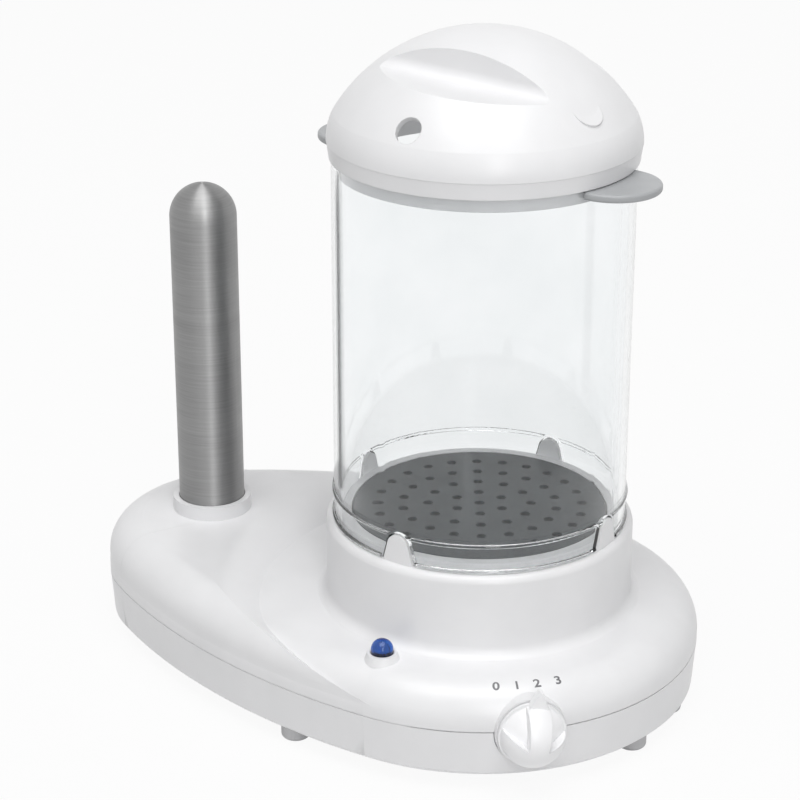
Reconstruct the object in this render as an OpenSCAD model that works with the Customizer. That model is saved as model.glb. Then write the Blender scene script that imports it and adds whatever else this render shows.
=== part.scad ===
// Table-top hot dog steamer: an egg-shaped base with a heated plinth, a clear
// steaming container with a domed lid, and a heated spike that warms a bun.
// Millimetres, +Z up, origin on the table under the middle of the base.
// The container stands at +X, the spike at -X, the controls face -Y.

/* [Base] */
// Radius of the round end of the base, at the parting line
base_r = 99.5; // [96:0.5:104]
// Distance from the container's axis to the far end of the base
base_reach = 192.5; // [187:0.5:200]
// Radius of the far end of the base
end_r = 63; // [60:1:68]
// Height of the feet
foot_h = 7; // [6:0.5:10]
// Diameter of a foot
foot_d = 13; // [11:0.5:14]
// Height of the lower shell, from its underside to the parting line
cover_h = 21.8; // [20:0.2:26]
// Height of the upper shell's wall, from the parting line to the deck
deck_rise = 19.2; // [18:0.2:24]
// Rounding of the deck's edge
deck_edge_r = 16; // [12:0.5:17]
// Height of the raised pad round the spike, above the deck
pad_rise = 6.2; // [5:0.2:8]
// Rounding of the raised pad's edge
pad_edge_r = 16; // [12:0.5:17]
// Distance from the spike's axis to the fold where the raised pad rolls down to the deck
pad_reach = 27.4; // [26:0.2:32]
// Rounding of that fold
fold_soft = 40; // [30:1:46]
// Wall of both base shells
wall = 2.6; // [2:0.1:3]
// Inward draft of the lower shell at its foot
draft = 1.5; // [1:0.25:3]
// Gap that shows as the parting line
parting_gap = 0.4; // [0.2:0.1:0.6]

/* [Plinth] */
// How far the plinth stands out from the container
plinth_over = 3.7; // [3.3:0.1:5]
// Height of the plinth above the deck
plinth_rise = 37.8; // [34:0.2:44]
// Rounding of the plinth's top edge
plinth_edge_r = 3.5; // [2:0.5:3.5]
// Fillet between plinth and deck
plinth_fillet = 5; // [2:0.5:6]
// Depth of the well that holds the heating plate, below the plinth's top
well_depth = 4.4; // [4:0.2:6]
// Height of the upstand ring inside the container's foot
upstand_h = 4; // [3:0.5:5]
// Height of the locating tabs above the plinth
tab_h = 13; // [10:0.5:16]
// Width of a locating tab at its root
tab_w = 15; // [12:0.5:18]
// Rounding of a tab's top
tab_tip_r = 5.2; // [4:0.2:6]
// Turn of the ring of tabs against the base's long axis
tab_turn = -4; // [-8:1:8]

/* [Container] */
// Outer radius of the clear container
cont_r = 65; // [64:0.5:65.5]
// Wall of the container
cont_wall = 3; // [2:0.25:3]
// Height of the container
cont_h = 165; // [140:1:190]
// Height of the beaded band at the container's foot
band_h = 12.5; // [10:0.5:18]
// Radius of the moulded beads
bead_r = 0.9; // [0.6:0.1:1.2]
// How far the grips reach out from the container
grip_reach = 19; // [16:0.5:22]
// Radius of a grip's outline
grip_r = 20; // [18:1:24]
// Thickness of a grip
grip_t = 3.4; // [3.2:0.2:5]
// Drop of the grips below the container's top
grip_drop = 0.2; // [0:0.1:1]
// Turn of the grips against the base's long axis
grip_turn = -6; // [-20:1:20]

/* [Lid] */
// Height of the upright rim of the lid
rim_h = 7; // [5:0.5:10]
// How far the foot of the lid's rim stands out from the container
rim_over = 0.9; // [0.5:0.1:1.4]
// How far the dome stands out from the container
dome_over = 1.9; // [1.5:0.1:3]
// Height of the dome above the rim
dome_h = 47; // [42:1:52]
// Radius of the dome's shoulder
shoulder_r = 24; // [20:1:30]
// Wall of the lid
lid_wall = 2.5; // [2:0.25:3]
// Depth of the lid's skirt inside the container
skirt_h = 6; // [4:0.5:10]
// Half width of the spine that is left between the finger scoops
spine_half = 24; // [22:0.5:28]
// Depth of the scoops' floor below the top of the dome, in the middle
scoop_depth = 17; // [15:0.5:19]
// Slope of the scoops' floor along the spine
scoop_lean = 4; // [2:0.5:5]
// Rounding between a scoop's wall and its floor
scoop_round = 5; // [4:0.5:9]
// Diameter of the round pad on the dome's flank
mark_d = 16; // [12:1:20]
// How far that pad's lower edge stands proud
mark_rise = 0.8; // [0.5:0.1:1.2]
// Diameter of the steam vent
vent_d = 11.5; // [10:0.5:14]
// Height angle of the steam vent on the dome's shoulder
vent_tilt = 46; // [40:1:50]

/* [Heating plate] */
// Gap between the container's inside and the heating plate's edge
plate_gap = 5; // [4:0.5:7]
// Thickness of the heating plate's rim
plate_t = 3; // [2.5:0.25:4]
// Thickness of the seal under the plate
seal_t = 1.4; // [1:0.1:2]
// Width of the ledge that carries the seal
ledge_w = 4.3; // [3.5:0.1:6]
// Distance from the plate's edge to the middle of the heating element
coil_in = 19; // [16:1:23]
// Diameter of the heating element
coil_d = 7; // [6:0.5:8]
// Height of the sausage tray
tray_h = 4; // [3.5:0.5:6]

/* [Spike] */
// Diameter of the bun spike
spike_d = 31; // [26:1:33]
// Distance from the far end of the base to the spike's axis
spike_in = 46.7; // [44:0.1:52]
// Height of the spike's tip above the deck
spike_rise = 168; // [140:1:190]
// Wall of the spike's tube
spike_wall = 1; // [0.8:0.1:1.5]
// Width of the collar round the spike's root
collar_w = 3.1; // [2:0.1:5]
// Height of the collar above the raised pad
collar_rise = 6.6; // [4:0.2:8]

/* [Controls] */
// Diameter of the control knob
knob_d = 28.6; // [26:0.2:29]
// Height of the control knob's dome above its skirt
knob_dome_h = 13.5; // [12:0.5:15]
// Direction of the knob, from the front towards the container's side
knob_az = 41.4; // [36:0.2:46]
// Turn of the knob at rest, clockwise from upright, where it points at 2
knob_turn = 9; // [4:1:14]
// Diameter of the pilot lamp's lens
lamp_d = 9.8; // [8:0.2:12]
// Distance of the pilot lamp from the base's outline
lamp_in = 18; // [15.5:0.5:19]

/* [Fits] */
// Gap between pieces that lift off each other
fit = 0.3; // [0.2:0.05:0.4]
// Gap between fixed pieces
snug = 0.2; // [0.1:0.05:0.3]
// Gap round the turning shaft
run_gap = 0.1; // [0.05:0.05:0.15]

/* [Hidden] */
$fn = 144;
eps = 0.01;

// Plan of the base: four tangent arcs
axis_x = (base_reach - base_r) / 2;
end_x = axis_x - base_reach + end_r;
end_off = base_reach - end_r;
side_r = (end_off * end_off + base_r * base_r - end_r * end_r) / (2 * (base_r - end_r));
side_a = atan2(end_off, side_r - base_r);
spike_pitch = base_reach - spike_in;
spike_x = axis_x - spike_pitch;
// Width of the swept rim, and the step by which the two round ends stand proud of the flanks
rim_w = 44;
seam = 0.05;
// Depth by which a soft round dips into the face that it runs out on
crease = 0.1;
// Centre of the fold, and the radius at which its rounding meets the raised pad
fold_x = 16;
fold_out = spike_pitch + fold_x - pad_reach;
// Step between the deck's wall and the raised pad's wall
pad_inset = 0.2;

// Heights
part_z = foot_h + cover_h;
deck_z = part_z + deck_rise;
ceiling_z = deck_z - wall;
pad_z = deck_z + pad_rise;
pad_ceiling_z = pad_z - wall;
shell_z = part_z + parting_gap;
plinth_z = deck_z + plinth_rise;
ledge_z = plinth_z - well_depth;
plate_z = ledge_z + seal_t;
plate_top_z = plate_z + plate_t;
cont_z = plinth_z + fit;
cont_top_z = cont_z + cont_h;
lid_z = cont_top_z + fit;
dome_z = lid_z + rim_h;
lid_top_z = dome_z + dome_h;
floor_z = foot_h + wall;

// Radii of the plinth, of its well and of the lid
plinth_r = cont_r + plinth_over;
plate_r = cont_r - cont_wall - plate_gap;
well_r = plate_r + fit;
upstand_r = cont_r - cont_wall - 2 * fit;
ledge_r = well_r - ledge_w;
ledge_t = 2;
rim_r = cont_r + rim_over;
dome_r = cont_r + dome_over;
skirt_r = cont_r - cont_wall - 2 * fit;
crown_r = (pow(dome_r - shoulder_r, 2) + dome_h * dome_h - shoulder_r * shoulder_r)
    / (2 * (dome_h - shoulder_r));

skirt_t = 2.2;
// Directions of the vent and of the round pad on the lid, from the lid's spine
vent_dir = -92.5;
mark_dir = -14;
mark_tilt = 43;
// The pad is flat and leans back, so that its upper edge sinks into the dome
mark_lean = 5;
mark_depth = 2;
mark_sag = mark_d * mark_d / (8 * crown_r) + mark_d / 2 * tan(mark_lean);

// Screw posts between the two shells, by the direction of the outline's normal
post_r = 4.5;
post_inset = 13;
post_dirs = [0, 84, -76, 108, -108, 138, -138];
post_z = floor_z + 3.6;
function post_top(place) =
    norm(place - [axis_x + fold_x, 0]) > fold_out - post_r ? pad_ceiling_z : ceiling_z;
// Depth by which a post or a tube runs into the deck
bed = 0.3;

// Screws: thread, head, and the play in their holes
screw_r = 1.5;
head_r = 3.5;
head_h = 2;
hole_play = 0.5;
thread_play = 0.05;
spare = 2;
cover_seat_z = floor_z + 0.6;
cover_screw_reach = 12;

// Feet, by the direction of the outline's normal and distance from the outline
foot_inset = 10.5;
far_foot_inset = 28;
foot_stem_r = 2.5;
foot_places = [
    rim_point(12, foot_inset), rim_point(-12, foot_inset),
    rim_point(98.5, foot_inset), rim_point(-98.5, foot_inset),
    rim_point(150, far_foot_inset), rim_point(-150, far_foot_inset)
];

// Knob seat on the base's wall
seat_r = knob_d / 2 + 1.2;
seat_face = base_r + 1;
seat_t = 4;
seat_depth = 18;
shaft_r = 3;
neck_r = 4.5;
switch_r = seat_r - wall - 0.6;
switch_len = 20;
nut_t = 2.2;
nut_r = 7.5;
nut_room = 1.2;
thread_proud = 0.4;
shaft_top = 8.4;
// Push-on blades below the switch and the thermostat
blade = [0.8, 6, 9];
blade_off = 6;

// Direction and distance of the pilot lamp from the container's axis
lamp_dir = -91.8;
lamp_off = base_r - lamp_in;
// Height of the lamp's boss on the deck
lamp_boss_h = 3;
// Width of the boss at its top, and of the lens's flange; depth of the tube below the deck
lamp_boss_w = 1.6;
lamp_boss_slope = 1.4;
lamp_flange_w = 1.3;
lamp_flange_t = 1.4;
lamp_tube_w = 1.8;
lamp_tube_h = 9;
lamp_flange_z = ceiling_at(lamp_off + lamp_d / 2 + lamp_flange_w) - snug - lamp_flange_t;

// Cord gland in the lower shell's back wall
gland_dir = 60;
gland_z = foot_h + cover_h / 2;
gland_bore_r = 3.6;
gland_neck_r = 5.8;
gland_flange_r = 8;
gland_flange_t = 2.5;
gland_neck_l = wall + 6;
gland_lock_t = 3;

// Spike's mounting under the deck
spike_r = spike_d / 2;
clamp_t = 1.8;
insulator_t = 5.6;
insulator_z = pad_ceiling_z - snug - insulator_t;
spike_flange_t = 1.5;
spike_flange_r = spike_r + 3.5;
spike_z = insulator_z - snug - spike_flange_t;
spike_clamp_z = spike_z - snug - clamp_t;
spike_post_w = 15.5;
spike_post_off = spike_r + spike_post_w;
spike_top_z = deck_z + spike_rise;

// Grips on the container's lugs
grip_z = cont_top_z - grip_drop - grip_t;
lug = [5, 24, 1.4];
lug_z = grip_z + (grip_t - lug.z) / 2;

// Heater stack under the plate
coil_r = plate_r - coil_in;
coil_drop = 5.5;
coil_z = plate_z - coil_drop;
clamp_z = coil_z - coil_d / 2 - snug - clamp_t;
plate_boss_in = 13;
plate_boss_off = coil_r - plate_boss_in;
plate_boss_dirs = [30, 150, 270];
coil_gap = 50;
// Angle by which the terminal pins stand in from the ring's ends
pin_in = 1.5;

white = [0.93, 0.93, 0.94];
grey = [0.69, 0.70, 0.71];
dark = [0.24, 0.28, 0.30];
steel = [0.72, 0.72, 0.73];
clear = [0.85, 0.90, 0.92, 0.35];
blue = [0.12, 0.31, 0.75];
cream = [0.90, 0.87, 0.78];
black = [0.15, 0.15, 0.16];
brass = [0.78, 0.66, 0.36];
red = [0.75, 0.35, 0.25];

// Height of the ceiling below the deck's rounded edge, by distance from the container's axis
function ceiling_at(radius) =
    let (over = max(0, radius - base_r + deck_edge_r), inner = deck_edge_r - wall)
    ceiling_z - inner + sqrt(inner * inner - over * over);

// Point on the base's outline, moved in by inset, where the normal has direction dir
function rim_point(dir, inset) =
    let (a = abs(dir), s = sign(dir))
    a <= 90
        ? [axis_x + (base_r - inset) * cos(a), s * (base_r - inset) * sin(a)]
    : a <= 90 + side_a
        ? [axis_x + (side_r - inset) * cos(a),
           s * ((side_r - inset) * sin(a) - side_r + base_r)]
    : [end_x + (end_r - inset) * cos(a), s * (end_r - inset) * sin(a)];

// Turns an outline profile along one arc; the profile's x = 0 lies on the outline
module arc_turn(radius, proud, from, to)
    rotate_extrude(angle = to - from, start = from)
        intersection() {
            translate([radius + proud, proud]) children();
            translate([radius - rim_w, 0]) square([rim_w + proud, lid_top_z]);
        }

// Carries an outline profile round the egg-shaped plan and fills its middle
module egg_turn(low, high) {
    lap = 1;
    translate([axis_x, 0]) arc_turn(base_r, seam, -90 - lap, 90 + lap) children();
    translate([axis_x, base_r - side_r]) arc_turn(side_r, 0, 90, 90 + side_a) children();
    translate([axis_x, side_r - base_r]) arc_turn(side_r, 0, -90 - side_a, -90) children();
    translate([end_x, 0])
        arc_turn(end_r, seam, 90 + side_a - lap, 270 - side_a + lap) children();
    translate([0, 0, low])
        linear_extrude(high - low)
            polygon([for (dir = [-180:20:160]) rim_point(dir, rim_w / 2)]);
}

// Outline profile with a rounded top edge
module round_edge(inset, low, high, edge_r) {
    depth = 2 * side_r;
    translate([-depth, low]) square([depth - inset, high - edge_r - low]);
    translate([-depth, low]) square([depth - inset - edge_r, high - low]);
    translate([-inset - edge_r, high - edge_r])
        intersection() {
            circle(edge_r);
            square(edge_r);
        }
}

// Outline profile with an upright wall
module flat_edge(inset, low, high)
    translate([-2 * side_r, low]) square([2 * side_r - inset, high - low]);

// Outline profile of the lower shell: drafted wall with a bevelled foot
module drafted_edge(inset, low, high) {
    depth = 2 * side_r;
    bevel = 2;
    slope = draft / cover_h;
    foot_x = -inset - (part_z - low) * slope;
    polygon([
        [-depth, low], [foot_x - bevel, low], [foot_x + bevel * slope, low + bevel],
        [-inset - (part_z - high) * slope, high], [-depth, high]
    ]);
}

module tube(outer, inner, low, high)
    translate([0, 0, low])
        difference() {
            cylinder(r = outer, h = high - low);
            translate([0, 0, -eps]) cylinder(r = inner, h = high - low + 2 * eps);
        }

module disc(radius, low, high)
    translate([0, 0, low]) cylinder(r = radius, h = high - low);

module at_container() translate([axis_x, 0, 0]) children();
module at_spike() translate([spike_x, 0, 0]) children();
module at_fold() translate([axis_x + fold_x, 0, 0]) children();
module at_plate_boss(dir) rotate(dir) translate([plate_boss_off, 0, 0]) children();
module at_lamp() at_container() rotate(lamp_dir) translate([lamp_off, 0, 0]) children();

// Knob's frame: z out of the base, y up, x to the right as seen from outside
module at_knob()
    translate([axis_x, 0, part_z])
        rotate(knob_az - 90)
            translate([seat_face, 0, 0])
                rotate([90, 0, 90])
                    children();

// Gland's frame: z out of the base
module at_gland()
    translate(concat(rim_point(gland_dir, draft / 2), gland_z))
        rotate([0, 90, gland_dir])
            children();

// Arch outline of a locating tab, grown by a margin; y is up from the plinth's top
module tab_arch(grow) {
    tip_r = tab_tip_r + grow;
    root = tab_w / 2 + grow;
    tip_y = tab_h - tab_tip_r;
    reach = sqrt(root * root + tip_y * tip_y);
    touch = atan2(-tip_y, root) + acos(tip_r / reach);
    translate([0, tip_y]) circle(tip_r);
    polygon([
        [-root, 0], [root, 0],
        [tip_r * cos(touch), tip_y + tip_r * sin(touch)],
        [-tip_r * cos(touch), tip_y + tip_r * sin(touch)]
    ]);
}

// The four tab arches as radial bars between two radii
module tab_bars(grow, inner, outer)
    for (turn = [0, 90, 180, 270])
        rotate(turn + tab_turn)
            translate([inner, 0, plinth_z])
                rotate([90, 0, 90])
                    linear_extrude(outer - inner)
                        tab_arch(grow);

// Upper shell
module plinth_profile() {
    translate([0, ceiling_z]) square([plinth_r, plinth_z - plinth_edge_r - ceiling_z]);
    translate([0, ceiling_z]) square([plinth_r - plinth_edge_r, plinth_z - ceiling_z]);
    translate([plinth_r - plinth_edge_r, plinth_z - plinth_edge_r])
        intersection() {
            circle(plinth_edge_r);
            square(plinth_edge_r);
        }
    difference() {
        translate([plinth_r - eps, ceiling_z])
            square([plinth_fillet + eps, deck_z + plinth_fillet - ceiling_z]);
        translate([plinth_r + plinth_fillet, deck_z + plinth_fillet - crease]) circle(plinth_fillet);
    }
}

// Raised far end of the deck, which rolls down to the deck at the fold
module raised_pad()
    difference() {
        egg_turn(part_z, pad_z) round_edge(pad_inset, part_z, pad_z, pad_edge_r);
        at_fold()
            rotate_extrude()
                difference() {
                    translate([0, foot_h]) square([fold_out, pad_z]);
                    translate([fold_out, pad_z - fold_soft]) circle(fold_soft);
                }
    }

module pad_cavity()
    difference() {
        egg_turn(part_z, pad_ceiling_z)
            round_edge(pad_inset + wall, part_z, pad_ceiling_z, pad_edge_r - wall);
        at_fold() disc(fold_out, 0, lid_top_z);
    }

module shell_outside() {
    egg_turn(shell_z, deck_z) round_edge(0, shell_z, deck_z, deck_edge_r);
    raised_pad();
    at_container() rotate_extrude() plinth_profile();
    at_container() disc(upstand_r, plinth_z - eps, plinth_z + upstand_h);
    at_container()
        intersection() {
            tab_bars(0, upstand_r - 1, cont_r + 2 * bead_r);
            tube(cont_r + 2 * fit, upstand_r - fit, plinth_z - eps, plinth_z + 2 * tab_h);
        }
    at_spike() disc(spike_r + collar_w, pad_ceiling_z, pad_z + collar_rise);
    at_lamp()
        translate([0, 0, deck_z - 1])
            cylinder(
                r1 = lamp_d / 2 + lamp_boss_w + lamp_boss_slope, r2 = lamp_d / 2 + lamp_boss_w,
                h = lamp_boss_h + 1
            );
    at_knob() disc(seat_r, -seat_depth, 0);
}

module shell_inside() {
    egg_turn(foot_h, ceiling_z) round_edge(wall, foot_h, ceiling_z, deck_edge_r - wall);
    pad_cavity();
    at_container() disc(plinth_r - wall, ceiling_z - eps, ledge_z - ledge_t);
    at_container() disc(ledge_r, ceiling_z, lid_top_z);
    at_container() disc(well_r, ledge_z, lid_top_z);
    at_spike() disc(spike_r + fit, part_z, lid_top_z);
    at_lamp() disc(lamp_d / 2 + snug, part_z, lid_top_z);
    at_knob() disc(seat_r - wall, -2 * seat_depth, -seat_t);
    at_knob() disc(neck_r + snug, -2 * seat_depth, eps);
}

module upper_shell()
    color(white) {
        difference() {
            shell_outside();
            shell_inside();
        }
        for (dir = post_dirs)
            translate(rim_point(dir, post_inset))
                difference() {
                    disc(post_r, post_z + snug, post_top(rim_point(dir, post_inset)) + bed);
                    disc(screw_r, post_z, post_z + cover_screw_reach + spare);
                }
        at_spike()
            for (side = [-1, 1])
                translate([0, side * spike_post_off, 0])
                    difference() {
                        disc(post_r, spike_clamp_z + clamp_t + snug, pad_ceiling_z + bed);
                        disc(screw_r, spike_clamp_z, pad_ceiling_z - spare / 2);
                    }
        at_lamp()
            tube(
                lamp_d / 2 + lamp_boss_w + lamp_tube_w, lamp_d / 2 + lamp_boss_w,
                ceiling_z - lamp_tube_h, ceiling_z + bed
            );
    }

// Lower shell with its floor, screw seats and air slots
module bottom_cover() {
    lip_t = 1.4;
    lip_h = 2.6;
    boss_w = 1.5;
    lip_inset = wall + snug;
    color(white)
        difference() {
            union() {
                difference() {
                    union() {
                        egg_turn(foot_h, part_z) drafted_edge(0, foot_h, part_z);
                        egg_turn(floor_z, part_z + lip_h) flat_edge(lip_inset, floor_z, part_z + lip_h);
                    }
                    egg_turn(floor_z, part_z - lip_h) drafted_edge(wall, floor_z, part_z - lip_h);
                    egg_turn(floor_z, lid_top_z) flat_edge(lip_inset + lip_t, floor_z, lid_top_z);
                }
                for (dir = post_dirs)
                    translate(rim_point(dir, post_inset)) disc(post_r + boss_w, foot_h, post_z);
            }
            for (dir = post_dirs)
                translate(rim_point(dir, post_inset)) {
                    disc(screw_r + hole_play, 0, post_z + eps);
                    disc(head_r + hole_play, 0, cover_seat_z);
                }
            for (place = foot_places)
                translate(place) disc(foot_stem_r + snug, 0, floor_z + eps);
            at_knob() disc(seat_r + snug, -2 * seat_depth, seat_depth);
            at_gland() disc(gland_neck_r + snug, -4 * wall, 4 * wall);
            at_gland() disc(gland_flange_r + fit, 0, 4 * wall);
            at_container() air_slots();
        }
}

module air_slots() {
    slot_w = 4;
    slot_l = 26;
    slot_from = 34;
    for (turn = [0:30:330])
        rotate(turn)
            translate([slot_from, 0, 0]) {
                translate([0, -slot_w / 2, 0]) cube([slot_l, slot_w, floor_z + 1]);
                disc(slot_w / 2, 0, floor_z + 1);
                translate([slot_l, 0, 0]) disc(slot_w / 2, 0, floor_z + 1);
            }
}

// Rubber foot: a rounded disc with a stem that plugs into the lower shell
module foot(place) {
    heel = 2;
    stem_proud = 0.6;
    color(grey)
        translate(place) {
            rotate_extrude()
                union() {
                    translate([0, heel]) square([foot_d / 2, foot_h - heel]);
                    square([foot_d / 2 - heel, foot_h]);
                    translate([foot_d / 2 - heel, heel])
                        intersection() {
                            circle(heel);
                            translate([0, -heel]) square(heel);
                        }
                }
            disc(foot_stem_r, foot_h - eps, floor_z + stem_proud);
        }
}

module cover_screws()
    color(steel)
        for (dir = post_dirs)
            translate(rim_point(dir, post_inset)) {
                disc(head_r, cover_seat_z - head_h, cover_seat_z);
                disc(screw_r - thread_play, cover_seat_z - eps, post_z + cover_screw_reach);
            }

module cord_gland()
    color(black)
        at_gland()
            difference() {
                union() {
                    disc(gland_flange_r, snug, gland_flange_t);
                    disc(gland_neck_r, -gland_neck_l, gland_flange_t);
                    disc(gland_flange_r, -gland_neck_l, gland_lock_t - gland_neck_l);
                }
                disc(gland_bore_r, -gland_neck_l - 1, gland_flange_t + 1);
            }

module terminal_block() {
    block = [30, 15, 11];
    inset = 44;
    wire_r = 2;
    wire_pitch = 9;
    wire_z = 5;
    color(cream)
        translate(concat(rim_point(gland_dir, inset), floor_z))
            difference() {
                translate([-block.x / 2, -block.y / 2, 0]) cube(block);
                for (place = [-1, 0, 1])
                    translate([place * wire_pitch, 0, wire_z])
                        rotate([90, 0, 0])
                            cylinder(r = wire_r, h = 2 * block.y, center = true);
            }
}

// Control knob: a dome with two flats that leave a pointer ridge
module control_knob() {
    low = 0.5;
    skirt = 1.6;
    skirt_lap = 0.5;
    root_z = low + skirt;
    top_z = root_z + knob_dome_h;
    r = knob_d / 2;
    // Step from the skirt to the dome, and from the dome to the flats
    step = 0.3;
    foot_r = r - step;
    dome_r = (foot_r * foot_r + knob_dome_h * knob_dome_h) / (2 * knob_dome_h);
    // Half widths of the ridge at its root and at the rim, and the levels where the flats end
    ridge_root = 0.3 * r;
    ridge_tip = 0.36 * r;
    flat_in = -0.1 * r;
    flat_out = 0.2 * r;
    flat_rise = 0.6 * knob_dome_h;
    // Pointer beyond the rim
    point_t = 4;
    point_lap = 3;
    point_tip = 0.6;
    point_y = r + 6.5;
    color(white)
        at_knob()
            rotate(-knob_turn)
                difference() {
                    union() {
                        disc(r + skirt_lap, low, root_z);
                        translate([0, 0, root_z - eps])
                            cylinder(r1 = foot_r - step, r2 = r / 3, h = flat_rise);
                        intersection() {
                            translate([0, 0, top_z - dome_r]) sphere(dome_r);
                            translate([0, 0, root_z - eps])
                                linear_extrude(knob_dome_h + 1)
                                    polygon([
                                        [-r, flat_out], [-ridge_root, flat_in], [-ridge_tip, r],
                                        [ridge_tip, r], [ridge_root, flat_in], [r, flat_out],
                                        [r, -r], [-r, -r]
                                    ]);
                        }
                        translate([0, 0, low])
                            linear_extrude(point_t)
                                polygon([
                                    [-ridge_tip, r - point_lap], [ridge_tip, r - point_lap],
                                    [point_tip, point_y], [-point_tip, point_y]
                                ]);
                    }
                    disc(nut_r + nut_room, 0, low + nut_t + thread_proud + snug);
                    disc(shaft_r + thread_play, 0, shaft_top + snug);
                }
}

module switch_shaft()
    color(brass) at_knob() disc(shaft_r, -seat_t - switch_len / 2, shaft_top);

module switch_body()
    color(cream)
        at_knob()
            difference() {
                union() {
                    disc(switch_r, -seat_t - snug - switch_len, -seat_t - snug);
                    disc(neck_r, -seat_t - 1, nut_t + thread_proud);
                    for (turn = [0, 120, 240])
                        rotate(turn)
                            translate([blade_off, -blade.y / 2, 1 - seat_t - switch_len - blade.z])
                                cube(blade);
                }
                disc(shaft_r + run_gap, -seat_t - switch_len / 2 - 1, seat_depth);
            }

module switch_nut()
    color(steel)
        at_knob()
            difference() {
                translate([0, 0, snug]) cylinder(r = nut_r, h = nut_t - snug, $fn = 6);
                disc(neck_r + thread_play, 0, nut_t + 1);
            }

// Pilot lamp: domed lens from inside the deck, bulb and push-in holder below it
module lamp_lens() {
    r = lamp_d / 2;
    lens_wall = 1.1;
    proud = 1.3;
    low = lamp_flange_z;
    dome = deck_z + lamp_boss_h + proud;
    color(blue)
        at_lamp()
            difference() {
                union() {
                    disc(r + lamp_flange_w, low, low + lamp_flange_t);
                    disc(r, low, dome);
                    translate([0, 0, dome]) sphere(r);
                }
                disc(r - lens_wall, low - 1, dome);
            }
}

module lamp_bulb() {
    gap = 1.7;
    depth = 12;
    r = lamp_d / 2 - gap;
    low = ceiling_z - depth;
    color(cream)
        at_lamp() {
            disc(r, low, deck_z);
            translate([0, 0, deck_z]) sphere(r);
        }
}

module lamp_holder() {
    r = lamp_d / 2;
    sleeve_w = 1.5;
    sleeve_h = 8;
    high = lamp_flange_z - snug;
    color(cream)
        at_lamp() tube(r + lamp_flange_w, r - sleeve_w, high - sleeve_h, high);
}

// Heating plate: shallow dish with bosses and a groove for the element below
module heating_plate() {
    dish_r = plate_r - 5;
    dish_t = 1.2;
    plug_r = ledge_r - 0.5;
    boss_r = 4;
    groove_play = 0.1;
    color(dark)
        at_container()
            difference() {
                union() {
                    disc(plate_r, plate_z, plate_top_z);
                    disc(plug_r, coil_z, plate_z + eps);
                    for (dir = plate_boss_dirs)
                        at_plate_boss(dir) disc(boss_r, clamp_z + clamp_t, coil_z + eps);
                }
                disc(dish_r, plate_top_z - dish_t, lid_top_z);
                translate([0, 0, coil_z])
                    rotate_extrude() translate([coil_r, 0]) circle(coil_d / 2 + groove_play);
                for (dir = plate_boss_dirs)
                    at_plate_boss(dir) disc(screw_r + hole_play, 0, coil_z + spare);
            }
}

module plate_seal() {
    margin = 0.5;
    color(red) at_container() tube(well_r - margin, ledge_r + margin, ledge_z, plate_z);
}

// Tubular element: an open ring with two terminal pins
module heating_element() {
    span = 360 - coil_gap;
    pin_r = 1.3;
    pin_l = 14;
    color(steel)
        at_container()
            rotate(-90 + coil_gap / 2) {
                translate([0, 0, coil_z])
                    rotate_extrude(angle = span) translate([coil_r, 0]) circle(coil_d / 2);
                for (turn = [pin_in, span - pin_in])
                    rotate(turn) translate([coil_r, 0, 0]) disc(pin_r, clamp_z - pin_l, coil_z);
            }
}

// Spring plate that pulls the element to the plate and the plate to the ledge
module element_clamp() {
    arm_w = 12;
    arm_t = 1.6;
    arm_r = ledge_r + 3;
    rim = 3;
    eye_r = 13;
    pin_hole_r = 3;
    color(steel)
        at_container()
            difference() {
                union() {
                    disc(coil_r + coil_d / 2 + rim, clamp_z, clamp_z + clamp_t);
                    for (dir = [0, 120, 240])
                        rotate(dir) {
                            translate([coil_r, -arm_w / 2, clamp_z])
                                cube([arm_r - coil_r, arm_w, clamp_t]);
                            translate([arm_r - arm_t, -arm_w / 2, clamp_z])
                                cube([arm_t, arm_w, ledge_z - ledge_t - snug - clamp_z]);
                        }
                }
                disc(eye_r, 0, lid_top_z);
                for (dir = plate_boss_dirs)
                    at_plate_boss(dir) disc(screw_r + hole_play, 0, lid_top_z);
                rotate(-90)
                    for (side = [-1, 1])
                        rotate(side * (coil_gap / 2 + pin_in))
                            translate([coil_r, 0, 0])
                                disc(pin_hole_r, 0, lid_top_z);
            }
}

module plate_screws()
    color(steel)
        at_container()
            for (dir = plate_boss_dirs)
                at_plate_boss(dir) {
                    disc(head_r, clamp_z - head_h, clamp_z);
                    disc(screw_r + hole_play - thread_play, clamp_z - eps, coil_z + spare / 2);
                }

module thermostat() {
    can_r = 8;
    can_h = 11;
    strap = [23, 8, 1];
    strap_z = coil_z - 2.2;
    blade_pitch = 9;
    color(black)
        at_container() {
            disc(can_r, coil_z - can_h, coil_z);
            translate([-strap.x / 2, -strap.y / 2, strap_z]) cube(strap);
            for (side = [-1, 1])
                translate([(side * blade_pitch - blade.x) / 2, -blade.y / 2, coil_z - can_h - blade.z + 1])
                    cube(blade);
        }
}

module thermal_fuse() {
    fuse_r = 1.6;
    fuse_l = 16;
    fuse_off = plate_boss_off - 5;
    color(brass)
        at_container()
            translate([-fuse_l / 2, fuse_off, clamp_z + clamp_t + fuse_r + thread_play])
                rotate([0, 90, 0])
                    cylinder(r = fuse_r, h = fuse_l);
}

// Bun spike: closed tube with a flange below the deck
module spike_tube()
    color(steel)
        at_spike()
            difference() {
                union() {
                    disc(spike_flange_r, spike_z, spike_z + spike_flange_t);
                    disc(spike_r, spike_z, spike_top_z - spike_r);
                    translate([0, 0, spike_top_z - spike_r]) sphere(spike_r);
                }
                disc(spike_r - spike_wall, spike_z - 1, spike_top_z - spike_r);
                translate([0, 0, spike_top_z - spike_r]) sphere(spike_r - spike_wall);
            }

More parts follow.
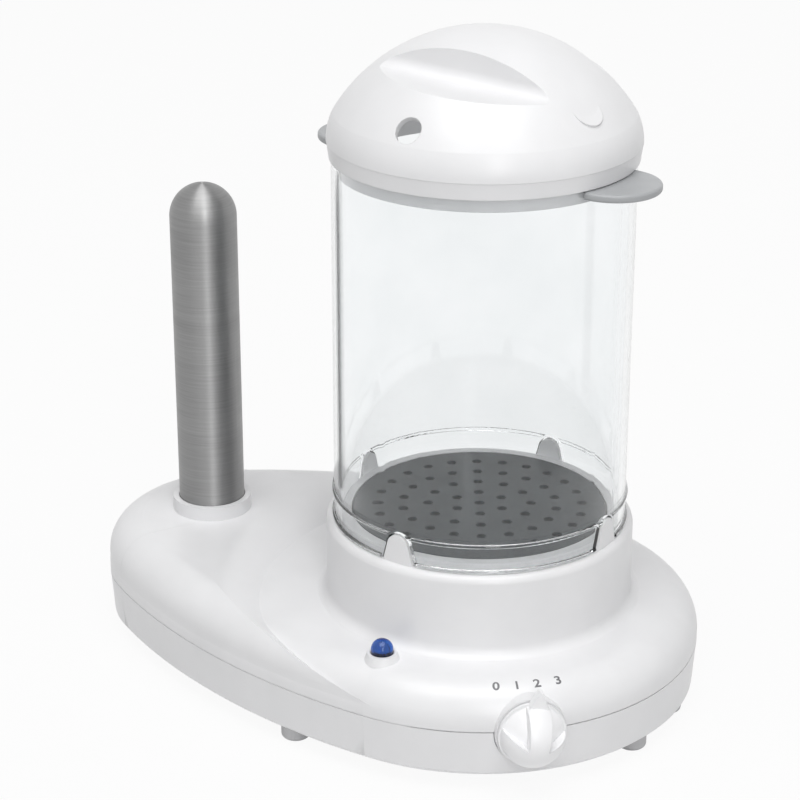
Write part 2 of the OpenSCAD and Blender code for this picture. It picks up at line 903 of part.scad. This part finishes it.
// Heating rod in the spike, with three discs that centre it in the tube
module spike_heater() {
    rod_r = 6;
    disc_r = spike_r - spike_wall - 0.6;
    disc_t = 3;
    low = spike_clamp_z + clamp_t;
    rod_top = spike_top_z - spike_r - 12;
    color(steel)
        at_spike() {
            disc(rod_r, low, rod_top);
            for (level = [low, (low + rod_top) / 2, rod_top - disc_t - spare])
                disc(disc_r, level, level + disc_t);
        }
}

module spike_insulator() {
    ring_w = 9;
    color(cream)
        at_spike() tube(spike_r + ring_w, spike_r + fit, insulator_z, insulator_z + insulator_t);
}

module spike_clamp() {
    ear_r = 7;
    rim = 2;
    wire_r = 4;
    high = spike_clamp_z + clamp_t;
    color(steel)
        at_spike()
            difference() {
                union() {
                    disc(spike_flange_r + rim, spike_clamp_z, high);
                    translate([-ear_r, -spike_post_off, spike_clamp_z])
                        cube([2 * ear_r, 2 * spike_post_off, clamp_t]);
                    for (side = [-1, 1])
                        translate([0, side * spike_post_off, 0]) disc(ear_r, spike_clamp_z, high);
                }
                disc(wire_r, 0, lid_top_z);
                for (side = [-1, 1])
                    translate([0, side * spike_post_off, 0]) disc(screw_r + hole_play, 0, lid_top_z);
            }
}

module spike_screws()
    color(steel)
        at_spike()
            for (side = [-1, 1])
                translate([0, side * spike_post_off, 0]) {
                    disc(head_r, spike_clamp_z - head_h, spike_clamp_z);
                    disc(screw_r - thread_play, spike_clamp_z - eps, pad_ceiling_z - spare);
                }

// Clear container: open tube with arched notches over the tabs and moulded beads
module bead_ring(z)
    rotate_extrude() translate([cont_r, z]) circle(bead_r);

module container() {
    notch = 0.8;
    color(clear)
        at_container() {
            difference() {
                union() {
                    disc(cont_r, cont_z, cont_top_z);
                    difference() {
                        for (z = [cont_z + band_h, cont_z + bead_r + crease]) bead_ring(z);
                        tab_bars(notch + bead_r, 0, cont_r + 5);
                    }
                    intersection() {
                        tab_bars(notch + 2 * bead_r, cont_r - cont_wall, cont_r + 3);
                        disc(cont_r + bead_r + crease, cont_z, cont_top_z);
                    }
                    for (side = [0, 180])
                        rotate(side + grip_turn)
                            translate([0, -lug.y / 2, lug_z]) cube([cont_r + lug.x, lug.y, lug.z]);
                }
                disc(cont_r - cont_wall, 0, lid_top_z);
                tab_bars(notch, cont_r - 2 * cont_wall, cont_r + 5);
            }
        }
}

// Flat grip beside the container's top, pushed over the container's lug
module grip(turn) {
    edge = 1.2;
    color(grey)
        at_container()
            rotate(turn)
                difference() {
                    translate([cont_r + grip_reach - grip_r, 0, grip_z])
                        rotate_extrude()
                            union() {
                                square([grip_r - edge, grip_t]);
                                translate([0, edge]) square([grip_r, grip_t - 2 * edge]);
                                for (y = [edge, grip_t - edge])
                                    translate([grip_r - edge, y]) circle(edge);
                            }
                    disc(cont_r + snug, 0, lid_top_z);
                    translate([0, -lug.y / 2 - snug, lug_z - snug])
                        cube([cont_r + lug.x + snug, lug.y + 2 * snug, lug.z + 2 * snug]);
                }
}

module grip_left() grip(180 + grip_turn);
module grip_right() grip(grip_turn);

// Perforated tray that keeps the sausages above the water
module sausage_tray() {
    floor_t = 1.8;
    skirt_w = 3;
    hole_r = 2.2;
    hole_margin = 11;
    rings = 4;
    hole_pitch = (plate_r - hole_margin) / rings;
    top = plate_top_z + tray_h;
    color(dark)
        at_container()
            difference() {
                disc(plate_r - fit, plate_top_z + fit, top);
                disc(plate_r - fit - skirt_w, 0, top - floor_t);
                for (ring = [1:rings])
                    for (k = [0:6 * ring - 1])
                        rotate(k * 60 / ring)
                            translate([ring * hole_pitch, 0, 0])
                                disc(hole_r, 0, lid_top_z);
                disc(hole_r, 0, lid_top_z);
            }
}

// Lid: dome from two tangent arcs, with two finger scoops that leave a spine
module dome_half(grow) {
    crown = crown_r + grow;
    shoulder = shoulder_r + grow + crease / 2;
    crown_y = dome_h - crown_r;
    shoulder_x = dome_r - shoulder_r;
    touch_x = crown * cos(atan2(-crown_y, shoulder_x));
    intersection() {
        translate([0, crown_y]) circle(crown);
        union() {
            square([touch_x, dome_h + grow]);
            translate([shoulder_x, 0])
                intersection() {
                    circle(shoulder);
                    square(shoulder);
                }
        }
    }
}

// The two scoops, grown by a margin: straight wall, sloping floor, rounded corner
module scoops(grow) {
    corner = scoop_round + grow;
    for (side = [0, 1])
        mirror([0, side, 0])
            translate([0, grow - spine_half, lid_top_z - scoop_depth - grow])
                rotate([0, scoop_lean, 0])
                    translate([-dome_r, 0, 0])
                        rotate([90, 0, 90])
                            linear_extrude(2 * dome_r) {
                                translate([-dome_r, corner]) square([dome_r, dome_h]);
                                translate([-dome_r, 0]) square([dome_r - corner, dome_h]);
                                translate([-corner, corner]) circle(corner);
                            }
}

// Round pad on the flank of the dome
module dome_mark()
    rotate(mark_dir)
        translate([0, 0, lid_top_z - crown_r])
            rotate([0, 90 - mark_tilt, 0])
                translate([0, 0, crown_r])
                    rotate([0, -mark_lean, 0])
                        translate([0, 0, -mark_depth])
                            cylinder(d = mark_d, h = mark_depth + mark_rise - mark_sag);

module lid()
    color(white)
        at_container()
            difference() {
                union() {
                    translate([0, 0, lid_z])
                        cylinder(r1 = rim_r, r2 = dome_r - crease, h = rim_h + eps);
                    translate([0, 0, dome_z]) rotate_extrude() dome_half(0);
                    disc(skirt_r, lid_z - skirt_h, lid_z + eps);
                    dome_mark();
                }
                scoops(0);
                disc(skirt_r - skirt_t, lid_z - skirt_h - 1, lid_z + lid_wall + eps);
                disc(rim_r - lid_wall, lid_z + lid_wall, dome_z + eps);
                difference() {
                    translate([0, 0, dome_z]) rotate_extrude() dome_half(-lid_wall);
                    scoops(lid_wall);
                }
                rotate(vent_dir)
                    translate([dome_r - shoulder_r, 0, dome_z])
                        rotate([0, 90 - vent_tilt, 0])
                            cylinder(d = vent_d, h = 2 * shoulder_r);
            }

upper_shell();
bottom_cover();
foot(foot_places[1]);  // foot_right_front
foot(foot_places[0]);  // foot_right_back
foot(foot_places[3]);  // foot_middle_front
foot(foot_places[2]);  // foot_middle_back
foot(foot_places[5]);  // foot_left_front
foot(foot_places[4]);  // foot_left_back
cover_screws();
cord_gland();
terminal_block();
control_knob();
switch_shaft();
switch_body();
switch_nut();
lamp_lens();
lamp_bulb();
lamp_holder();
heating_plate();
plate_seal();
heating_element();
element_clamp();
plate_screws();
thermostat();
thermal_fuse();
spike_tube();
spike_heater();
spike_insulator();
spike_clamp();
spike_screws();
container();
grip_left();
grip_right();
sausage_tray();
lid();
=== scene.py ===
import math

import bmesh
import bpy
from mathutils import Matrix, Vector
from mathutils.bvhtree import BVHTree


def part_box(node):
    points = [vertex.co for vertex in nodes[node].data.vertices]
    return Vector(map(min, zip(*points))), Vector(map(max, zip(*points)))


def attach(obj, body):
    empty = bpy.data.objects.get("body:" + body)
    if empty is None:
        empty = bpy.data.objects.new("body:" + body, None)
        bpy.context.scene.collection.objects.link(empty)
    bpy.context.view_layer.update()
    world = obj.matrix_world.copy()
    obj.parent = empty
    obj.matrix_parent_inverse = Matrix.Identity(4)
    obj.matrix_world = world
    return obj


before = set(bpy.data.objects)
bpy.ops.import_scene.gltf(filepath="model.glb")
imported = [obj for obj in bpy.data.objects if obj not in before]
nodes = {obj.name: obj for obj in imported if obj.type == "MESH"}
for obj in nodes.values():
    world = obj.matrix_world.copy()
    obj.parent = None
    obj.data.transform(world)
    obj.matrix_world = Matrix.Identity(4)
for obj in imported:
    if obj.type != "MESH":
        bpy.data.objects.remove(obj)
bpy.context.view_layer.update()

MM = 0.001
scene = bpy.context.scene
scene.view_settings.view_transform = "Standard"

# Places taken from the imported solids
lid_low, lid_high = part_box("lid")
AXIS = Vector(((lid_low.x + lid_high.x) / 2, (lid_low.y + lid_high.y) / 2, 0))


# Materials


def blank(name):
    material = bpy.data.materials.new(name)
    material.use_nodes = True
    return material, material.node_tree, material.node_tree.nodes["Principled BSDF"]


def noise(tree, scale, detail=4.0, stretch=(1, 1, 1)):
    """Noise over the object's own coordinates, with scale in waves per metre."""
    place = tree.nodes.new("ShaderNodeTexCoord")
    mapping = tree.nodes.new("ShaderNodeMapping")
    mapping.inputs["Scale"].default_value = stretch
    tree.links.new(place.outputs["Object"], mapping.inputs["Vector"])
    texture = tree.nodes.new("ShaderNodeTexNoise")
    texture.inputs["Scale"].default_value = scale
    texture.inputs["Detail"].default_value = detail
    tree.links.new(mapping.outputs["Vector"], texture.inputs["Vector"])
    return texture.outputs["Fac"]


def spread(tree, fac, low, high):
    """Noise turned into a number between low and high."""
    node = tree.nodes.new("ShaderNodeMapRange")
    node.inputs["From Min"].default_value = 0.3
    node.inputs["From Max"].default_value = 0.7
    node.inputs["To Min"].default_value = low
    node.inputs["To Max"].default_value = high
    tree.links.new(fac, node.inputs["Value"])
    return node.outputs["Result"]


def two_tone(tree, fac, dark, light):
    ramp = tree.nodes.new("ShaderNodeValToRGB")
    ramp.color_ramp.elements[0].position = 0.3
    ramp.color_ramp.elements[0].color = (*dark, 1)
    ramp.color_ramp.elements[1].position = 0.7
    ramp.color_ramp.elements[1].color = (*light, 1)
    tree.links.new(fac, ramp.inputs["Fac"])
    return ramp.outputs["Color"]


def soft_bump(tree, shader, fac, depth, edge=0.0):
    """Fine relief in metres, on normals that round each sharp edge by a small radius."""
    bump = tree.nodes.new("ShaderNodeBump")
    bump.inputs["Strength"].default_value = 1.0
    bump.inputs["Distance"].default_value = depth
    tree.links.new(fac, bump.inputs["Height"])
    if edge:
        bevel = tree.nodes.new("ShaderNodeBevel")
        bevel.samples = 4
        bevel.inputs["Radius"].default_value = edge
        tree.links.new(bevel.outputs["Normal"], bump.inputs["Normal"])
    tree.links.new(bump.outputs["Normal"], shader.inputs["Normal"])


def moulded(name, dark, light, rough, grain=1500, depth=2e-6, edge=0.0, specular=0.5):
    """Moulded plastic or rubber: faint clouds in the colour, uneven gloss, fine grain."""
    material, tree, shader = blank(name)
    clouds = noise(tree, 45, 3)
    tree.links.new(two_tone(tree, clouds, dark, light), shader.inputs["Base Color"])
    tree.links.new(spread(tree, noise(tree, 160, 5), *rough), shader.inputs["Roughness"])
    shader.inputs["Specular IOR Level"].default_value = specular
    soft_bump(tree, shader, noise(tree, grain, 6), depth, edge)
    return material


def metal(name, dark, light, rough, stretch=(1, 1, 1), grain=1600, depth=4e-6, turned=0.0):
    """Metal with a fine grain, which a turned piece has all round its upright axis."""
    material, tree, shader = blank(name)
    lines = noise(tree, grain, 4, stretch)
    tree.links.new(two_tone(tree, lines, dark, light), shader.inputs["Base Color"])
    tree.links.new(spread(tree, noise(tree, 120, 4, stretch), *rough), shader.inputs["Roughness"])
    shader.inputs["Metallic"].default_value = 1.0
    shader.inputs["Anisotropic"].default_value = turned
    shader.inputs["Anisotropic Rotation"].default_value = 0.25
    soft_bump(tree, shader, lines, depth)
    return material


def clear(name, dark, light, rough, ior, alpha, depth=1e-5, specular=0.5):
    """Clear moulding: faint waviness and an uneven polish."""
    material, tree, shader = blank(name)
    clouds = noise(tree, 30, 3)
    tree.links.new(two_tone(tree, clouds, dark, light), shader.inputs["Base Color"])
    tree.links.new(spread(tree, noise(tree, 90, 4), *rough), shader.inputs["Roughness"])
    shader.inputs["Transmission Weight"].default_value = 1.0
    shader.inputs["IOR"].default_value = ior
    shader.inputs["Specular IOR Level"].default_value = specular
    shader.inputs["Alpha"].default_value = alpha
    soft_bump(tree, shader, noise(tree, 25, 2), depth)
    return material


WHITE_DARK = (0.80, 0.80, 0.81)
WHITE_LIGHT = (0.83, 0.83, 0.84)
WHITE_ROUGH = (0.28, 0.36)
SOFT_EDGE = 0.5 * MM
CLEAR_IOR = 1.49
LAMP_IOR = 1.5
white = moulded("white_plastic", WHITE_DARK, WHITE_LIGHT, WHITE_ROUGH, edge=SOFT_EDGE)
# Painted light: a lighter copy of the white plastic for the knob, standing in for the light its
# up-facing dome catches.
knob_lit_white = moulded("knob_plastic_painted_light", (0.88, 0.88, 0.89), (0.91, 0.91, 0.92), WHITE_ROUGH, edge=SOFT_EDGE)
rubber = moulded("grey_rubber", (0.52, 0.52, 0.53), (0.58, 0.58, 0.59), (0.6, 0.75), 2500, 1e-5)
satin = moulded("grey_plastic", (0.36, 0.37, 0.38), (0.41, 0.42, 0.43), (0.35, 0.45), edge=0.4 * MM)
black = moulded("black_plastic", (0.02, 0.02, 0.02), (0.035, 0.035, 0.035), (0.4, 0.55), 2000, 1e-5)
cream = moulded("cream_plastic", (0.66, 0.62, 0.50), (0.74, 0.70, 0.58), (0.45, 0.6), 2000, 6e-6)
seal = moulded("seal_rubber", (0.42, 0.10, 0.05), (0.52, 0.14, 0.07), (0.5, 0.65), 2200, 8e-6)
coating = moulded(
    "dark_coating", (0.020, 0.030, 0.035), (0.030, 0.042, 0.048), (0.3, 0.42), 3000, specular=0.25
)
ink = moulded("dial_ink", (0.13, 0.13, 0.14), (0.19, 0.19, 0.20), (0.5, 0.6))
steel = metal(
    "brushed_steel", (0.29, 0.29, 0.29), (0.33, 0.33, 0.33), (0.46, 0.56),
    stretch=(0.03, 0.03, 1), turned=0.85,
)
plated = metal("plain_steel", (0.48, 0.48, 0.49), (0.58, 0.58, 0.59), (0.3, 0.42))
brass = metal("brass", (0.55, 0.41, 0.15), (0.66, 0.51, 0.21), (0.25, 0.38))
glass = clear("clear_plastic", (0.93, 0.945, 0.95), (0.97, 0.98, 0.985), (0.0, 0.02), CLEAR_IOR, 1.0)
bulb = clear("bulb_glass", (0.90, 0.82, 0.66), (0.97, 0.90, 0.76), (0.02, 0.06), LAMP_IOR, 0.8)
lens = clear(
    "blue_lens", (0.003, 0.060, 0.34), (0.008, 0.11, 0.50), (0.06, 0.14), LAMP_IOR, 1.0, specular=0.3
)

FINISH = {
    white: ("upper_shell", "bottom_cover", "lid"),
    knob_lit_white: ("control_knob",),
    rubber: tuple(n for n in nodes if n.startswith("foot_")),
    satin: ("grip_left", "grip_right"),
    black: ("cord_gland", "thermostat"),
    cream: ("terminal_block", "switch_body", "lamp_holder", "spike_insulator"),
    seal: ("plate_seal",),
    coating: ("heating_plate", "sausage_tray"),
    steel: ("spike_tube",),
    plated: (
        "cover_screws", "switch_nut", "heating_element", "element_clamp",
        "plate_screws", "spike_heater", "spike_clamp", "spike_screws",
    ),
    brass: ("switch_shaft", "thermal_fuse"),
    glass: ("container",),
    bulb: ("lamp_bulb",),
    lens: ("lamp_lens",),
}
for material, names in FINISH.items():
    for name in names:
        nodes[name].data.materials.clear()
        nodes[name].data.materials.append(material)


# Printed numerals on the rounded edge of the deck

DIAL = {"0": -56.8, "1": -51.2, "2": -45.7, "3": -39.8}
DIAL_RADIUS = 90.8 * MM
DIGIT_HEIGHT = 3.5 * MM
DIGIT_WIDEN = 1.25
DIGIT_BOLD = 0.12 * MM
CAP_SHARE = 0.70
PRINT_LIFT = 0.04 * MM
ABOVE_DECK = 60 * MM


def surface_of(name):
    mesh = nodes[name].data
    return BVHTree.FromPolygons([v.co for v in mesh.vertices], [p.vertices for p in mesh.polygons])


def numeral(text, angle, radius, height, skin):
    """A printed digit that follows the surface below it, read from outside the base."""
    curve = bpy.data.curves.new("digit", "FONT")
    curve.body = text
    curve.size = height / CAP_SHARE
    curve.align_x = "CENTER"
    curve.align_y = "CENTER"
    curve.offset = DIGIT_BOLD
    source = bpy.data.objects.new("digit", curve)
    scene.collection.objects.link(source)
    bpy.context.view_layer.update()
    shaped = source.evaluated_get(bpy.context.evaluated_depsgraph_get())
    mesh = bpy.data.meshes.new_from_object(shaped)
    bpy.data.objects.remove(source)
    work = bmesh.new()
    work.from_mesh(mesh)
    bmesh.ops.triangulate(work, faces=work.faces)
    bmesh.ops.subdivide_edges(work, edges=work.edges, cuts=3, use_grid_fill=True)
    outward = Vector((math.cos(angle), math.sin(angle), 0))
    along = Vector((-outward.y, outward.x, 0))
    for vertex in work.verts:
        spot = AXIS + outward * (radius - vertex.co.y) + along * DIGIT_WIDEN * vertex.co.x
        start = Vector((spot.x, spot.y, ABOVE_DECK))
        hit, normal, _, _ = skin.ray_cast(start, Vector((0, 0, -1)))
        vertex.co = hit + normal * PRINT_LIFT
    work.to_mesh(mesh)
    work.free()
    piece = bpy.data.objects.new("numeral_" + text, mesh)
    scene.collection.objects.link(piece)
    mesh.materials.clear()
    mesh.materials.append(ink)
    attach(piece, "base")


skin = surface_of("upper_shell")
for text, degrees in DIAL.items():
    numeral(text, math.radians(degrees), DIAL_RADIUS, DIGIT_HEIGHT, skin)


# Stage: floor, lamps, world and camera

FLOOR_HALF = 40.0
FLOOR_WHITE = 0.93
ROOM_LIGHT = 0.30
AIM = Vector((0.0, 0.0, 0.12))
SENSOR_WIDTH = 36
FOCAL_LENGTH = 107.46
CAMERA_SPOT = (0.5054, -0.8580, 0.5381)
CAMERA_LINE = Vector((-0.4659, 0.7993, -0.3797))


def seen_rays(tree):
    """One for rays from the camera, mirrors and glass, zero for the rays that light the object."""
    path = tree.nodes.new("ShaderNodeLightPath")
    total = path.outputs["Is Camera Ray"]
    for name in ("Is Glossy Ray", "Is Transmission Ray"):
        either = tree.nodes.new("ShaderNodeMath")
        either.operation = "MAXIMUM"
        tree.links.new(total, either.inputs[0])
        tree.links.new(path.outputs[name], either.inputs[1])
        total = either.outputs[0]
    return total


def floor_plane(half, whiteness):
    """Paper floor that is seen as white and still keeps part of the object's shadow."""
    paper = moulded("floor_paper", (0.70, 0.70, 0.70), (0.73, 0.73, 0.73), (0.7, 0.85), 400, 2e-6)
    tree = paper.node_tree
    glow = tree.nodes.new("ShaderNodeEmission")
    share = tree.nodes.new("ShaderNodeMath")
    share.operation = "MULTIPLY"
    share.inputs[1].default_value = whiteness
    tree.links.new(seen_rays(tree), share.inputs[0])
    mix = tree.nodes.new("ShaderNodeMixShader")
    tree.links.new(share.outputs[0], mix.inputs["Fac"])
    tree.links.new(tree.nodes["Principled BSDF"].outputs["BSDF"], mix.inputs[1])
    tree.links.new(glow.outputs["Emission"], mix.inputs[2])
    tree.links.new(mix.outputs["Shader"], tree.nodes["Material Output"].inputs["Surface"])
    mesh = bpy.data.meshes.new("floor")
    corners = [(-half, -half, 0), (half, -half, 0), (half, half, 0), (-half, half, 0)]
    mesh.from_pydata(corners, [], [(0, 1, 2, 3)])
    mesh.materials.append(paper)
    piece = bpy.data.objects.new("floor", mesh)
    scene.collection.objects.link(piece)


def lamp(name, spot, size, power):
    """Soft box that looks at the object."""
    light = bpy.data.lights.new(name, "AREA")
    light.shape = "RECTANGLE"
    light.size, light.size_y = size
    light.energy = power
    holder = bpy.data.objects.new(name, light)
    holder.location = spot
    holder.rotation_euler = (AIM - Vector(spot)).to_track_quat("-Z", "Y").to_euler()
    scene.collection.objects.link(holder)


def studio_world(strength):
    """White room: strength is the level at which it lights the object."""
    world = bpy.data.worlds.new("studio")
    scene.world = world
    world.use_nodes = True
    tree = world.node_tree
    background = tree.nodes["Background"]
    background.inputs["Color"].default_value = (1, 1, 1, 1)
    level = tree.nodes.new("ShaderNodeMapRange")
    level.inputs["To Min"].default_value = strength
    level.inputs["To Max"].default_value = 1.0
    tree.links.new(seen_rays(tree), level.inputs["Value"])
    tree.links.new(level.outputs["Result"], background.inputs["Strength"])


floor_plane(FLOOR_HALF, FLOOR_WHITE)
studio_world(ROOM_LIGHT)
lamp("key", spot=(0.35, -0.75, 2.85), size=(2.4, 2.0), power=59)
lamp("fill", spot=(1.4, -1.7, 1.05), size=(0.4, 1.5), power=12)

camera = bpy.data.cameras.new("camera")
camera.sensor_width = SENSOR_WIDTH
camera.lens = FOCAL_LENGTH
holder = bpy.data.objects.new("camera", camera)
holder.location = CAMERA_SPOT
holder.rotation_euler = CAMERA_LINE.to_track_quat("-Z", "Y").to_euler()
scene.collection.objects.link(holder)
scene.camera = holder
